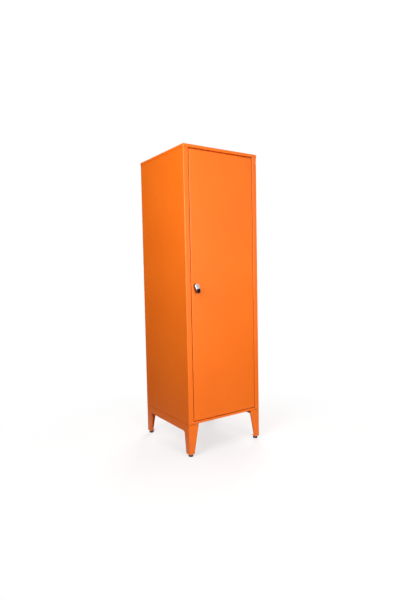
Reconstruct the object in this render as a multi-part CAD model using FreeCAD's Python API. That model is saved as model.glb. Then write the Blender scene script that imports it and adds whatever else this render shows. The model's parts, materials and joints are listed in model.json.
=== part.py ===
import FreeCAD, Part
import math
import os

V = FreeCAD.Vector

# Steel cabinet on legs with one flush door. Millimetres, +Z up, front towards -Y.
# The origin is on the floor under the middle of the outer box, knob included.

# Overall sizes
body_width = 400.0
body_depth = 400.0
total_height = 1350.0
leg_height = 143.5
knob_reach = 20.0

# Sheet metal
sheet = 1.0
bend = 2.0
leg_sheet = 1.5

# Side panels and back panel
stile_width = 25.0
stile_hem = 15.0
rear_flange = 20.0
back_flange = 12.0
top_flange = 15.0
base_gap = 2.0

# Top panel and the rail under it
cap_lip = 12.5
cap_gap = 0.5
cap_corner = 5.0
header_reveal = 1.0
header_drop = 20.0
header_hem = 10.0

# Bottom panel
rail_height = 10.3
rail_lip = 12.0
stop_rise = 18.0
tray_fit = 0.25
tray_lip = 30.0

# Door
door_depth = 18.0
door_side_gap = 2.5
door_top_gap = 4.5
door_low_gap = 3.0
door_stop_gap = 4.0
door_hem = 12.0
stiffener_crown = 60.0
stiffener_brim = 15.0
stiffener_depth = 12.0
stiffener_end = 40.0

# Hinge
pivot_in = 9.0
pivot_seat = 0.2
pin_radius = 3.0
pin_play = 0.06
pin_head_radius = 4.5
pin_head = 3.0
pin_short = 1.0
pivot_plate = 3.0
pivot_plate_length = 40.0
pivot_plate_depth = 12.0
bush_radius = 4.0
bush_flange_radius = 6.0
bush_end_gap = 1.3
thrust_gap = 0.3
hole_play = 0.1

# Door bumpers
bumper_radius = 4.0
bumper_in = 30.0
bumper_gap = 0.3

# Lock and knob
knob_x_in = 21.5
knob_height = 738.5
knob_width = 20.5
knob_long = 46.0
knob_thick = 16.0
knob_crown = 5.0
knob_edge = 2.5
knob_neck_radius = 8.0
knob_lean = 16.5
knob_gap = 0.5
collar_radius = 9.5
collar = 2.5
barrel_radius = 8.0
spindle_radius = 4.0
spindle_play = 0.08
spindle_square = 5.4
lock_nut_flats = 22.0
lock_nut = 4.0
cam_sheet = 2.0
cam_reach = 36.0
cam_root_radius = 9.0
cam_tip_radius = 6.0
cam_play = 0.3
cam_behind = 1.3
cam_screw_radius = 1.5
cam_screw_length = 8.0
cam_screw_head_radius = 5.0
cam_screw_head = 2.5

# Leg frames
leg_front_low = 27.0
leg_front_high = 52.0
leg_side_low = 29.5
leg_side_high = 40.0
leg_lip = 10.0
leg_flange = 31.5
skirt_height = 35.0
arch_radius = 13.0
leg_bolt_in = 19.5
leg_bolt_end = 61.5
leg_bolt_radius = 3.0
leg_bolt_play = 0.2
leg_bolt_flats = 10.0
leg_bolt_head = 4.0
leg_bolt_nut = 5.0
leg_bolt_end_length = 2.0

# Levelling feet
foot_height = 12.0
foot_seat_gap = 0.2
foot_in = 14.0
foot_plate = 2.5
foot_nut_flats = 13.0
foot_nut = 6.5
foot_radius = 11.0
foot_rim = 4.5
foot_boss_radius = 7.5
foot_chamfer = 1.0
stud_radius = 4.0
stud_play = 0.06
stud_above_nut = 22.0

# Shelves and their uprights
shelf_names = ("lower", "middle", "upper")
upright_front = 60.0
upright_rear = 50.0
upright_width = 25.0
upright_depth = 12.0
upright_top_gap = 35.0
slot_first = 30.0
slot_pitch = 32.0
slot_width = 12.0
slot_height = 3.0
shelf_setback = 12.0
shelf_rear_gap = 3.0
shelf_side_gap = 1.5
shelf_edge = 25.0
shelf_side = 14.0
shelf_hem = 10.0
clip_sheet = 1.5
clip_ledge = 12.0
clip_hook = 6.0
clip_play = 0.4

# Places that follow from the sizes
hair = 0.01
bend_out = bend + sheet
half_width = body_width / 2
half_opening = half_width - stile_width
cap_proud = cap_gap + sheet
front = (knob_reach - body_depth - cap_proud) / 2
back = front + body_depth
under_cap = total_height - sheet
wall_top = under_cap - bend_out
wall_low = leg_height + base_gap
header_z = total_height - cap_lip - header_reveal
header_low = header_z - header_drop
ledge_z = leg_height + rail_height
floor_z = ledge_z + stop_rise
door_back = front + door_depth
stop_y = door_back + door_stop_gap
back_face = back - 2 * sheet
tray_half = half_width - 2 * sheet - tray_fit
door_half = half_opening - door_side_gap
door_top = header_z - door_top_gap
door_low = ledge_z + door_low_gap
pivot_x = door_half - pivot_in
pivot_y = front + bend_out + bush_radius + pivot_seat
upper_bush_room = under_cap - sheet - header_z
lower_bush_room = rail_height - sheet
knob_x = -door_half + knob_x_in
cam_y = stop_y + cam_behind
barrel_end = cam_y - cam_play
middle_y = (front + back) / 2
leg_bend_out = bend + leg_sheet
skirt_z = leg_height - skirt_height
foot_top = foot_height - foot_seat_gap
foot_x = -half_width + foot_in
foot_y = front + foot_in
upright_x = -half_width + sheet + upright_depth
upright_top = under_cap - upright_top_gap
shelf_half = -upright_x - shelf_side_gap
shelf_front = stop_y + shelf_setback
shelf_rear = back_face - shelf_rear_gap


# Planes that a flat outline can be drawn in
def plan(z):
    return lambda p: V(p.x, p.y, z)


def side_on(x):
    return lambda p: V(x, p.x, p.y)


def face_on(y):
    return lambda p: V(p.x, y, p.y)


# Edges along a path of points, with an arc of the given radius at each inner point
def rounded_chain(points, radii, place):
    edges = []
    start = points[0]
    for before, corner, after, radius in zip(points, points[1:], points[2:], radii):
        along = (corner - before).normalize()
        onward = (after - corner).normalize()
        turn = along.getAngle(onward)
        reach = radius * math.tan(turn / 2)
        side = 1 if along.cross(onward).z > 0 else -1
        arc_start = corner - along * reach
        arc_end = corner + onward * reach
        centre = arc_start + V(-along.y, along.x) * (side * radius)
        arc_middle = centre + (corner - centre).normalize() * radius
        edges.append(Part.LineSegment(place(start), place(arc_start)).toShape())
        edges.append(Part.Arc(place(arc_start), place(arc_middle), place(arc_end)).toShape())
        start = arc_end
    edges.append(Part.LineSegment(place(start), place(points[-1])).toShape())
    return edges


# The same path moved to its left by the sheet's thickness
def left_of(points, thickness):
    runs = [(b - a).normalize() for a, b in zip(points, points[1:])]
    normals = [V(-run.y, run.x) for run in runs]
    moved = [points[0] + normals[0] * thickness]
    for corner, first, second in zip(points[1:], normals, normals[1:]):
        moved.append(corner + (first + second) * (thickness / (1 + first.dot(second))))
    moved.append(points[-1] + normals[-1] * thickness)
    return moved


# Closed outline of a folded sheet: the path is one face of it, the sheet lies on the path's left
def folded_wire(points, thickness, radius, place):
    runs = [b - a for a, b in zip(points, points[1:])]
    lefts = [first.cross(second).z > 0 for first, second in zip(runs, runs[1:])]
    near_radii = [radius + thickness if left else radius for left in lefts]
    far_radii = [radius if left else radius + thickness for left in lefts]
    far = left_of(points, thickness)
    edges = rounded_chain(points, near_radii, place)
    edges.append(Part.LineSegment(place(points[-1]), place(far[-1])).toShape())
    edges += rounded_chain(far[::-1], far_radii[::-1], place)
    edges.append(Part.LineSegment(place(far[0]), place(points[0])).toShape())
    return Part.Wire(Part.__sortEdges__(edges))


def folded(points, thickness, radius, place, length):
    return Part.Face(folded_wire(points, thickness, radius, place)).extrude(length)


def box(low, high):
    size = high - low
    return Part.makeBox(size.x, size.y, size.z, low)


def post(radius, x, y, low, high):
    return Part.makeCylinder(radius, high - low, V(x, y, low))


def bar(radius, x, z, near, far):
    return Part.makeCylinder(radius, far - near, V(x, near, z), V(0, 1, 0))


def hexagon(flats, x, y, low, high):
    corner = flats / math.sqrt(3)
    points = [V(x + corner * math.cos(k * math.pi / 3), y + corner * math.sin(k * math.pi / 3), low)
              for k in range(7)]
    return Part.Face(Part.makePolygon(points)).extrude(V(0, 0, high - low))


def joined(shapes):
    return shapes[0].multiFuse(shapes[1:]).removeSplitter()


def mirrored(shape):
    return shape.mirror(V(0, 0, 0), V(1, 0, 0))


def front_to_rear(shape):
    return shape.mirror(V(0, middle_y, 0), V(0, 1, 0))


def save(name, *solids):
    shape = solids[0] if len(solids) == 1 else Part.makeCompound(list(solids))
    print(name, len(shape.Solids), "solid" if shape.isValid() else "not valid", round(shape.Volume))
    shape.exportStep("parts/" + name + ".step")


# Side panel: rear flange, wall, stile, stile return, hem and top flange folded from one sheet,
# a narrow gap above the leg frame
def side_panel():
    path = [
        V(-half_width + rear_flange, back),
        V(-half_width, back),
        V(-half_width, front),
        V(-half_opening, front),
        V(-half_opening, stop_y),
        V(-half_opening - stile_hem, stop_y),
    ]
    wall = folded(path, sheet, bend, plan(wall_low), V(0, 0, wall_top - wall_low))
    flange_path = [
        V(-half_width + top_flange, under_cap),
        V(-half_width, under_cap),
        V(-half_width, wall_top - bend_out),
    ]
    flange_run = V(0, body_depth - 2 * bend_out, 0)
    flange = folded(flange_path, sheet, bend, face_on(front + bend_out), flange_run)
    return joined([wall, flange])


# Back panel: a flat sheet inside the rear flanges, its sides folded forward along the walls
def back_panel():
    side = half_width - sheet
    face = back - sheet
    path = [V(side, face - back_flange), V(side, face), V(-side, face), V(-side, face - back_flange)]
    return folded(path, sheet, bend, plan(leg_height), V(0, 0, wall_top - leg_height))


# Edges of a shape that run along one axis, or lie in one level plane
def edges_along(shape, axis):
    return [e for e in shape.Edges if abs(e.tangentAt(e.FirstParameter).dot(axis)) > 1 - hair]


def edges_at_height(shape, z):
    return [e for e in shape.Edges if e.BoundBox.ZMin > z - hair]


def edges_at_front(edges, y):
    return [e for e in edges if e.BoundBox.YMax < y + hair]


# Top panel: a cap with a lip on four sides, round at its corners
def top_panel():
    def cap(margin, low, high, corner):
        side = half_width + margin
        block = box(V(-side, front - margin, low), V(side, back + margin, high))
        block = block.makeFillet(corner, edges_along(block, V(0, 0, 1)))
        return block.makeFillet(corner - bend, edges_at_height(block, high))

    outside = cap(cap_proud, total_height - cap_lip, total_height, cap_corner)
    inside = cap(cap_gap, total_height - 2 * cap_lip, under_cap, cap_corner - sheet)
    return outside.cut(inside)


# Rail under the cap: its ledge carries the upper hinge bush, its drop stops the door
def top_front_rail():
    path = [
        V(front + top_flange, under_cap),
        V(front, under_cap),
        V(front, header_z),
        V(stop_y, header_z),
        V(stop_y, header_low),
        V(stop_y + header_hem, header_low),
    ]
    rail = folded(path, sheet, bend, side_on(-half_opening), V(2 * half_opening, 0, 0))
    return rail.cut(post(bush_radius + hole_play, pivot_x, pivot_y, header_z, header_z + sheet))


# Bottom panel: front rail, ledge, raised floor, rear flange, and side flanges turned in at the bottom
def bottom_panel():
    rear_part = [V(back_face, leg_height), V(back_face, floor_z)]
    front_part = [
        V(stop_y, floor_z),
        V(stop_y, ledge_z),
        V(front, ledge_z),
        V(front, leg_height),
        V(front + rail_lip, leg_height),
    ]
    middle = folded(rear_part + front_part, sheet, bend, side_on(-half_opening), V(2 * half_opening, 0, 0))
    edge_path = [
        V(-half_opening, floor_z),
        V(-tray_half, floor_z),
        V(-tray_half, leg_height),
        V(-tray_half + tray_lip, leg_height),
    ]
    edge_front = stop_y + tray_fit
    edge_run = V(0, back_face - bend_out - edge_front, 0)
    edge = folded(edge_path, sheet, bend, face_on(edge_front), edge_run)
    panel = joined([middle, edge, mirrored(edge)])
    panel = panel.cut(post(bush_radius + hole_play, pivot_x, pivot_y, ledge_z - sheet, ledge_z))
    return panel.cut(Part.makeCompound(leg_bolt_holes()))


def leg_bolt_places():
    lengthwise = (front + leg_bolt_end, middle_y, back - leg_bolt_end)
    return [(side * (-half_width + leg_bolt_in), y) for side in (1, -1) for y in lengthwise]


def leg_bolt_holes():
    radius = leg_bolt_radius + leg_bolt_play
    return [post(radius, x, y, leg_height - leg_sheet, leg_height + sheet) for x, y in leg_bolt_places()]


# Leg frame: tapered legs with a folded corner, a skirt between them, an arched lip and a top flange
def leg_frame():
    def leg_section(width, z):
        path = [
            V(-half_width, front + 2 * leg_bend_out),
            V(-half_width, front),
            V(-half_width + width, front),
            V(-half_width + width, front + leg_lip),
        ]
        return folded_wire(path, leg_sheet, bend, plan(z))

    sections = [leg_section(leg_front_low, foot_height), leg_section(leg_front_high, leg_height)]
    front_leg = Part.makeLoft(sections, True, True)
    arch = [
        V(front + leg_side_low, foot_height),
        V(front + leg_side_high, skirt_z),
        V(back - leg_side_high, skirt_z),
        V(back - leg_side_low, foot_height),
    ]
    web_top = leg_height - leg_bend_out
    outline = [
        arch[-1],
        V(back - leg_bend_out, foot_height),
        V(back - leg_bend_out, web_top),
        V(front + leg_bend_out, web_top),
        V(front + leg_bend_out, foot_height),
        arch[0],
    ]
    place = side_on(-half_width)
    edges = rounded_chain(arch, [arch_radius, arch_radius], place)
    edges += Part.makePolygon([place(p) for p in outline]).Edges
    web = Part.Face(Part.Wire(Part.__sortEdges__(edges))).extrude(V(leg_sheet, 0, 0))
    lip = folded(arch, leg_sheet, arch_radius, place, V(leg_lip, 0, 0))
    flange_path = [
        V(-half_width + leg_flange, leg_height),
        V(-half_width, leg_height),
        V(-half_width, web_top - leg_bend_out),
    ]
    flange_front = front + leg_bend_out
    flange_run = V(0, back - leg_bend_out - flange_front, 0)
    flange = folded(flange_path, leg_sheet, bend, face_on(flange_front), flange_run)
    frame = joined([web, front_leg, front_to_rear(front_leg), lip, flange])
    return frame.cut(Part.makeCompound(leg_bolt_holes()))


def leg_bolts():
    bolts = []
    under_flange = leg_height - leg_sheet
    tip = leg_height + sheet + leg_bolt_nut + leg_bolt_end_length
    for x, y in leg_bolt_places():
        head = hexagon(leg_bolt_flats, x, y, under_flange - leg_bolt_head, under_flange)
        bolts.append(head.fuse(post(leg_bolt_radius, x, y, under_flange, tip)))
    return bolts


def leg_nuts():
    nuts = []
    seat = leg_height + sheet
    for x, y in leg_bolt_places():
        nut = hexagon(leg_bolt_flats, x, y, seat, seat + leg_bolt_nut)
        nuts.append(nut.cut(post(leg_bolt_radius + hole_play, x, y, seat, seat + leg_bolt_nut)))
    return nuts


# Foot plate closes the bottom of a leg between its flanges and lips, a nut on top takes the stud
def foot_plate_piece():
    low = V(-half_width + leg_sheet, front + leg_sheet, foot_height)
    size = V(leg_front_low - 2 * leg_sheet, leg_side_low - 2 * leg_sheet, foot_plate)
    high = low + size
    plate = box(low, high)
    plate = plate.makeFillet(bend, edges_at_front(edges_along(plate, V(0, 0, 1)), low.y))
    return plate.cut(post(stud_radius + stud_play, foot_x, foot_y, low.z, high.z))


def foot_nut_piece():
    low = foot_height + foot_plate
    nut = hexagon(foot_nut_flats, foot_x, foot_y, low, low + foot_nut)
    return nut.cut(post(stud_radius + stud_play, foot_x, foot_y, low, low + foot_nut))


# Pad turned about the stud: chamfered rim and a shoulder that slopes up to the stud's end
def foot_pad_piece():
    profile = [
        V(0, 0, 0),
        V(foot_radius - foot_chamfer, 0, 0),
        V(foot_radius, 0, foot_chamfer),
        V(foot_radius, 0, foot_rim),
        V(foot_boss_radius, 0, foot_top),
        V(0, 0, foot_top),
        V(0, 0, 0),
    ]
    pad = Part.Face(Part.makePolygon(profile)).revolve(V(0, 0, 0), V(0, 0, 1), 360)
    pad.translate(V(foot_x, foot_y, 0))
    return pad


def foot_stud_piece():
    top = foot_height + foot_plate + foot_nut + stud_above_nut
    return post(stud_radius, foot_x, foot_y, foot_top, top)


# Door: a pan folded back on four sides with a hem round its open back
def door_panel():
    def pan(margin, near, far, radius):
        low = V(-door_half + margin, near, door_low + margin)
        block = box(low, V(door_half - margin, far, door_top - margin))
        return block.makeFillet(radius, edges_at_front(block.Edges, near))

    skin = pan(0, front, door_back, bend_out)
    hollow = pan(sheet, front + sheet, door_back - sheet, bend)
    rim = sheet + door_hem
    low = V(-door_half + rim, door_back - sheet, door_low + rim)
    window = box(low, V(door_half - rim, door_back, door_top - rim))
    pin_holes = post(pin_radius + hole_play, pivot_x, pivot_y, door_low, door_top)
    lock_hole = bar(barrel_radius + hole_play, knob_x, knob_height, front, front + sheet)
    return skin.cut(Part.makeCompound([hollow, window])).cut(Part.makeCompound([pin_holes, lock_hole]))


# Hat section along the middle of the door, its brims against the skin
def door_stiffener():
    skin = front + sheet
    crown = stiffener_crown / 2
    brim = crown + stiffener_brim
    path = [
        V(-brim, skin),
        V(-crown, skin),
        V(-crown, skin + stiffener_depth),
        V(crown, skin + stiffener_depth),
        V(crown, skin),
        V(brim, skin),
    ]
    low = door_low + stiffener_end
    return folded(path, sheet, bend, plan(low), V(0, 0, door_top - stiffener_end - low))


# Hinge, in the upper position or upside down in the lower one
def hinge_span(seat, up, near, far):
    ends = sorted((seat + up * near, seat + up * far))
    return ends[0], ends[1]


def pivot_plate_piece(edge, up):
    low, high = hinge_span(edge, up, -sheet - pivot_plate, -sheet)
    right = door_half - sheet
    near = front + bend_out
    plate = box(V(right - pivot_plate_length, near, low), V(right, near + pivot_plate_depth, high))
    return plate.cut(post(pin_radius + hole_play, pivot_x, pivot_y, low, high))


def hinge_pin_piece(edge, gap, up, room):
    seat = -sheet - pivot_plate
    head = post(pin_head_radius, pivot_x, pivot_y, *hinge_span(edge, up, seat - pin_head, seat))
    tip = gap + room - bush_end_gap - pin_short
    return head.fuse(post(pin_radius, pivot_x, pivot_y, *hinge_span(edge, up, seat, tip)))


def hinge_bush_piece(ledge, up, thickness, room):
    length = room - bush_end_gap
    flange = post(bush_flange_radius, pivot_x, pivot_y, *hinge_span(ledge, up, -thickness, 0))
    sleeve = post(bush_radius, pivot_x, pivot_y, *hinge_span(ledge, up, 0, length))
    bore = post(pin_radius + pin_play, pivot_x, pivot_y, *hinge_span(ledge, up, -thickness, length))
    return flange.fuse(sleeve).cut(bore)


def door_bumpers():
    x = -door_half + bumper_in
    upper = (header_low + door_top) / 2
    lower = (door_low + floor_z) / 2
    return [bar(bumper_radius, x, z, door_back + bumper_gap, stop_y) for z in (upper, lower)]


# Lock: barrel with a collar in front of the door, a nut behind the skin
def lock_barrel():
    body = bar(barrel_radius, knob_x, knob_height, front, barrel_end)
    ring = bar(collar_radius, knob_x, knob_height, front - collar, front)
    bore = bar(spindle_radius + spindle_play, knob_x, knob_height, front - collar, barrel_end)
    return body.fuse(ring).cut(bore)


def lock_nut_piece():
    nut = hexagon(lock_nut_flats, 0, 0, 0, lock_nut)
    nut = nut.cut(post(barrel_radius + hole_play, 0, 0, 0, lock_nut))
    nut.rotate(V(0, 0, 0), V(1, 0, 0), -90)
    nut.translate(V(knob_x, front + sheet, knob_height))
    return nut


# Knob: an oblong with a crowned face and a round rim, on a neck and a spindle through the barrel
def turn_knob():
    near = front - knob_reach
    far = near + knob_thick
    half = knob_width / 2
    end_rise = knob_long / 2 - half
    low = V(knob_x - half, near, knob_height - end_rise)
    block = box(low, V(knob_x + half, far, knob_height + end_rise))
    ends = [bar(half, knob_x, z, near, far) for z in (knob_height - end_rise, knob_height + end_rise)]
    oblong = joined([block] + ends)
    crown_radius = (knob_long ** 2 / 4 + knob_crown ** 2) / (2 * knob_crown)
    crown_start = V(knob_x - half, near + crown_radius, knob_height)
    grip = oblong.common(Part.makeCylinder(crown_radius, knob_width, crown_start, V(1, 0, 0)))
    grip = grip.makeFillet(knob_edge, edges_at_front(grip.Edges, far - 2 * hair))
    grip.rotate(V(knob_x, front, knob_height), V(0, 1, 0), -knob_lean)
    neck = bar(knob_neck_radius, knob_x, knob_height, far, front - collar - knob_gap)
    spindle = bar(spindle_radius, knob_x, knob_height, far, cam_y)
    square_half = spindle_square / 2
    tip = cam_y + cam_sheet
    square_low = V(knob_x - square_half, cam_y, knob_height - square_half)
    square = box(square_low, V(knob_x + square_half, tip, knob_height + square_half))
    knob = joined([grip, neck, spindle, square])
    hole_depth = cam_screw_length + hole_play
    return knob.cut(bar(cam_screw_radius + hole_play, knob_x, knob_height, tip - hole_depth, tip))


# Cam hangs straight down with the knob upright and swings behind the left stile
def lock_cam():
    spread = math.asin((cam_root_radius - cam_tip_radius) / (cam_reach - cam_tip_radius))

    def on_circle(radius, drop, angle):
        return V(knob_x + radius * math.cos(angle), cam_y, knob_height - drop + radius * math.sin(angle))

    tip_drop = cam_reach - cam_tip_radius
    right = -spread
    left = math.pi + spread
    root = Part.Arc(
        on_circle(cam_root_radius, 0, right),
        on_circle(cam_root_radius, 0, math.pi / 2),
        on_circle(cam_root_radius, 0, left),
    )
    tip = Part.Arc(
        on_circle(cam_tip_radius, tip_drop, left),
        on_circle(cam_tip_radius, tip_drop, -math.pi / 2),
        on_circle(cam_tip_radius, tip_drop, right),
    )
    left_flank = Part.LineSegment(root.EndPoint, tip.StartPoint)
    right_flank = Part.LineSegment(tip.EndPoint, root.StartPoint)
    edges = [curve.toShape() for curve in (root, left_flank, tip, right_flank)]
    plate = Part.Face(Part.Wire(Part.__sortEdges__(edges))).extrude(V(0, cam_sheet, 0))
    half = spindle_square / 2 + hole_play
    low = V(knob_x - half, cam_y, knob_height - half)
    return plate.cut(box(low, V(knob_x + half, cam_y + cam_sheet, knob_height + half)))


def cam_screw():
    seat = cam_y + cam_sheet
    head = bar(cam_screw_head_radius, knob_x, knob_height, seat, seat + cam_screw_head)
    return head.fuse(bar(cam_screw_radius, knob_x, knob_height, seat - cam_screw_length, seat))


# Upright: a channel against the side wall with a row of slots facing the inside
def slot_heights():
    first = floor_z + slot_first
    count = int((upright_top - slot_first - first) / slot_pitch) + 1
    return [first + slot_pitch * k for k in range(count)]


def upright(near):
    path = [
        V(-half_width + sheet, near),
        V(upright_x, near),
        V(upright_x, near + upright_width),
        V(-half_width + sheet, near + upright_width),
    ]
    channel = folded(path, sheet, bend / 2, plan(floor_z), V(0, 0, upright_top - floor_z))
    middle = near + upright_width / 2
    slots = []
    for z in slot_heights():
        low = V(upright_x - sheet, middle - slot_width / 2, z)
        slots.append(box(low, V(upright_x, middle + slot_width / 2, z + slot_height)))
    return channel.cut(Part.makeCompound(slots))


# Clip hooks through a slot and gives the shelf a ledge
def shelf_clip(near, z):
    top = z + clip_sheet
    behind = upright_x - sheet - clip_play - clip_sheet
    path = [V(upright_x + clip_ledge, top), V(behind, top), V(behind, top - clip_hook)]
    middle = near + upright_width / 2
    width = slot_width - 2 * clip_play
    return folded(path, clip_sheet, clip_play, face_on(middle - width / 2), V(0, width, 0))


# Shelf: front and rear edges folded down and hemmed, sides folded down onto the clips
def shelf(z):
    low = z - shelf_edge
    path = [
        V(shelf_rear - shelf_hem, low),
        V(shelf_rear, low),
        V(shelf_rear, z),
        V(shelf_front, z),
        V(shelf_front, low),
        V(shelf_front + shelf_hem, low),
    ]
    flat_half = shelf_half - bend_out
    middle = folded(path, sheet, bend, side_on(-flat_half), V(2 * flat_half, 0, 0))
    side_path = [V(-flat_half + bend_out, z), V(-shelf_half, z), V(-shelf_half, z - shelf_side)]
    side_front = shelf_front + bend_out
    side = folded(side_path, sheet, bend, face_on(side_front), V(0, shelf_rear - bend_out - side_front, 0))
    return joined([middle, side, mirrored(side)])


os.makedirs("parts", exist_ok=True)

left_side = side_panel()
save("left_side_panel", left_side)
save("right_side_panel", mirrored(left_side))
save("back_panel", back_panel())
save("top_panel", top_panel())
save("top_front_rail", top_front_rail())
save("bottom_panel", bottom_panel())

left_frame = leg_frame()
save("left_leg_frame", left_frame)
save("right_leg_frame", mirrored(left_frame))
save("leg_bolts", *leg_bolts())
save("leg_nuts", *leg_nuts())

# The same foot stands under each leg
foot_pieces = {
    "foot_plate": foot_plate_piece(),
    "foot_pad": foot_pad_piece(),
    "foot_stud": foot_stud_piece(),
    "foot_nut": foot_nut_piece(),
}
for name, piece in foot_pieces.items():
    rear = front_to_rear(piece)
    save(name + "_front_left", piece)
    save(name + "_front_right", mirrored(piece))
    save(name + "_rear_left", rear)
    save(name + "_rear_right", mirrored(rear))

# Uprights in the four corners, and the slots that carry the shelves
upright_places = {"front": front + upright_front, "rear": back_face - upright_rear - upright_width}
for where, near in upright_places.items():
    piece = upright(near)
    save("upright_left_" + where, piece)
    save("upright_right_" + where, mirrored(piece))

# Each shelf sits in the slots nearest to an even share of the inside height
shelf_above_slot = clip_sheet + shelf_side
share = (under_cap - floor_z) / (len(shelf_names) + 1)
for number, name in enumerate(shelf_names):
    wanted = floor_z + share * (number + 1) - shelf_above_slot
    slot = min(slot_heights(), key=lambda z: abs(z - wanted))
    save("shelf_" + name, shelf(slot + shelf_above_slot))
    clips = [shelf_clip(near, slot) for near in upright_places.values()]
    save("shelf_clips_" + name, *clips, *[mirrored(clip) for clip in clips])

save("door_panel", door_panel())
save("door_stiffener", door_stiffener())
save("upper_pivot_plate", pivot_plate_piece(door_top, 1))
save("lower_pivot_plate", pivot_plate_piece(door_low, -1))
save("upper_hinge_pin", hinge_pin_piece(door_top, door_top_gap, 1, upper_bush_room))
save("lower_hinge_pin", hinge_pin_piece(door_low, door_low_gap, -1, lower_bush_room))

# The flanges of the bushes keep the door between them, the lower one carries it
save("upper_hinge_bush", hinge_bush_piece(header_z, 1, door_top_gap - thrust_gap, upper_bush_room))
save("lower_hinge_bush", hinge_bush_piece(ledge_z, -1, door_low_gap - thrust_gap, lower_bush_room))
save("door_bumpers", *door_bumpers())

save("lock_barrel", lock_barrel())
save("lock_nut", lock_nut_piece())
save("turn_knob", turn_knob())
save("lock_cam", lock_cam())
save("cam_screw", cam_screw())
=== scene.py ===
import json
import math

import bmesh
import bpy
from mathutils import Matrix, Vector


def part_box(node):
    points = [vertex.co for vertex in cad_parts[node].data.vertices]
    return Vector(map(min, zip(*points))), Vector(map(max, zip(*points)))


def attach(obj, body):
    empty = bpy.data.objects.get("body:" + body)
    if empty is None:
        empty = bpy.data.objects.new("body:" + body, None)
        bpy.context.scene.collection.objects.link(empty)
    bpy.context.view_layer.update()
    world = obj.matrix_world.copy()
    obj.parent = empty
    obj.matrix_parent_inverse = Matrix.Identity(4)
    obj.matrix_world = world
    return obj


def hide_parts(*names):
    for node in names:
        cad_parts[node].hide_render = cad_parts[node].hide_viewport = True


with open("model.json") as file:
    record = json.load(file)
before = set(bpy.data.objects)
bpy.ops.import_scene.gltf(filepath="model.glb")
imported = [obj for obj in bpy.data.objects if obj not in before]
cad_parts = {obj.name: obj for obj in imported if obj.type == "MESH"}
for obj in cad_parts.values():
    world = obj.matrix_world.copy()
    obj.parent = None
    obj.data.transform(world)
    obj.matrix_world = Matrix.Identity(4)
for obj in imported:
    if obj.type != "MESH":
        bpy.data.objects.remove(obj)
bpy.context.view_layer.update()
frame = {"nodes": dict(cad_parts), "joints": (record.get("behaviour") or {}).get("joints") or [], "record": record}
scene = bpy.context.scene
nodes = frame["nodes"]
joints = {joint["name"]: joint for joint in frame["joints"]}
bodyOf = {n: body for body, members in frame["record"]["behaviour"]["bodies"].items() for n in members}
slotOf = {part["node"]: part["material_slot"] for part in frame["record"]["subparts"]}
corners = ("front_left", "front_right", "rear_left", "rear_right")
print("frame loaded,", len(nodes), "nodes")


# wires: a socket is linked, anything else is set as the value
def addNode(tree, kind, wires=None, **settings):
    node = tree.nodes.new(kind)
    for name, value in settings.items():
        setattr(node, name, value)
    for socket, source in (wires or {}).items():
        if isinstance(source, bpy.types.NodeSocket):
            tree.links.new(source, node.inputs[socket])
        else:
            node.inputs[socket].default_value = source
    return node


def maths(tree, operation, first, second=0.0):
    return addNode(tree, "ShaderNodeMath", {0: first, 1: second}, operation=operation).outputs[0]


def span(tree, value, low, high, toLow, toHigh):
    wires = {"Value": value, "From Min": low, "From Max": high, "To Min": toLow, "To Max": toHigh}
    return addNode(tree, "ShaderNodeMapRange", wires).outputs[0]


# sockets 6 and 7 of a mix take its two colours, output 2 gives the result
def tint(tree, share, first, second):
    return addNode(tree, "ShaderNodeMix", {0: share, 6: first, 7: second}, data_type="RGBA").outputs[2]


def stretched(tree, place, scale):
    return addNode(tree, "ShaderNodeMapping", {"Vector": place, "Scale": scale}).outputs[0]


def cloud(tree, place, scale, detail):
    wires = {"Vector": place, "Scale": scale, "Detail": detail}
    return addNode(tree, "ShaderNodeTexNoise", wires).outputs[0]


def bumpy(tree, height, distance, under=None):
    wires = {"Height": height, "Distance": distance, "Strength": 1.0}
    if under is not None:
        wires["Normal"] = under
    return addNode(tree, "ShaderNodeBump", wires).outputs[0]


def newSurface(name):
    material = bpy.data.materials.new(name)
    material.use_nodes = True
    material.node_tree.nodes.clear()
    return material, material.node_tree


def newFinish(name):
    material, tree = newSurface(name)
    shader = addNode(tree, "ShaderNodeBsdfPrincipled")
    addNode(tree, "ShaderNodeOutputMaterial", {"Surface": shader.outputs[0]})
    place = addNode(tree, "ShaderNodeTexCoord").outputs["Object"]
    return material, tree, shader, place


def plug(tree, shader, **sources):
    for name, source in sources.items():
        tree.links.new(source, shader.inputs[name.replace("_", " ")])


# powder coat: patchy tone, orange peel, fine grain, cut edges worn paler, and painted shade: seams and creases
# darkened deep red by ambient occlusion
# here and below, a noise is given as its scale and detail
paint = {
    "light": (0.955, 0.180, 0.0075, 1),
    "deep": (0.92, 0.164, 0.006, 1),
    "edge": (0.96, 0.235, 0.025, 1),
    # painted shade: the deep red laid into seams, creases and gaps
    "seam": (0.65, 0.050, 0.001, 1),
    "seamReach": 0.004,
    "seamRays": 6,
    "seamRange": (0.95, 0.5),     # open share at which the painted seam shade begins and is full
    "seamShare": 0.6,
    "patches": (4.0, 4.0),
    "patchRange": (0.35, 0.65),
    "wear": (60.0, 2.0),
    "wearRange": (0.4, 0.7),
    "wearShare": (0.1, 0.5),
    "peel": (380.0, 1.0),
    "peelDepth": 0.00006,
    "grain": (1900.0, 2.0),
    "grainDepth": 0.00002,
    "gloss": (22.0, 5.0),
    "glossRange": (0.3, 0.7),
    "rough": (0.39, 0.43),
    "specular": 0.40,
}


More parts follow.
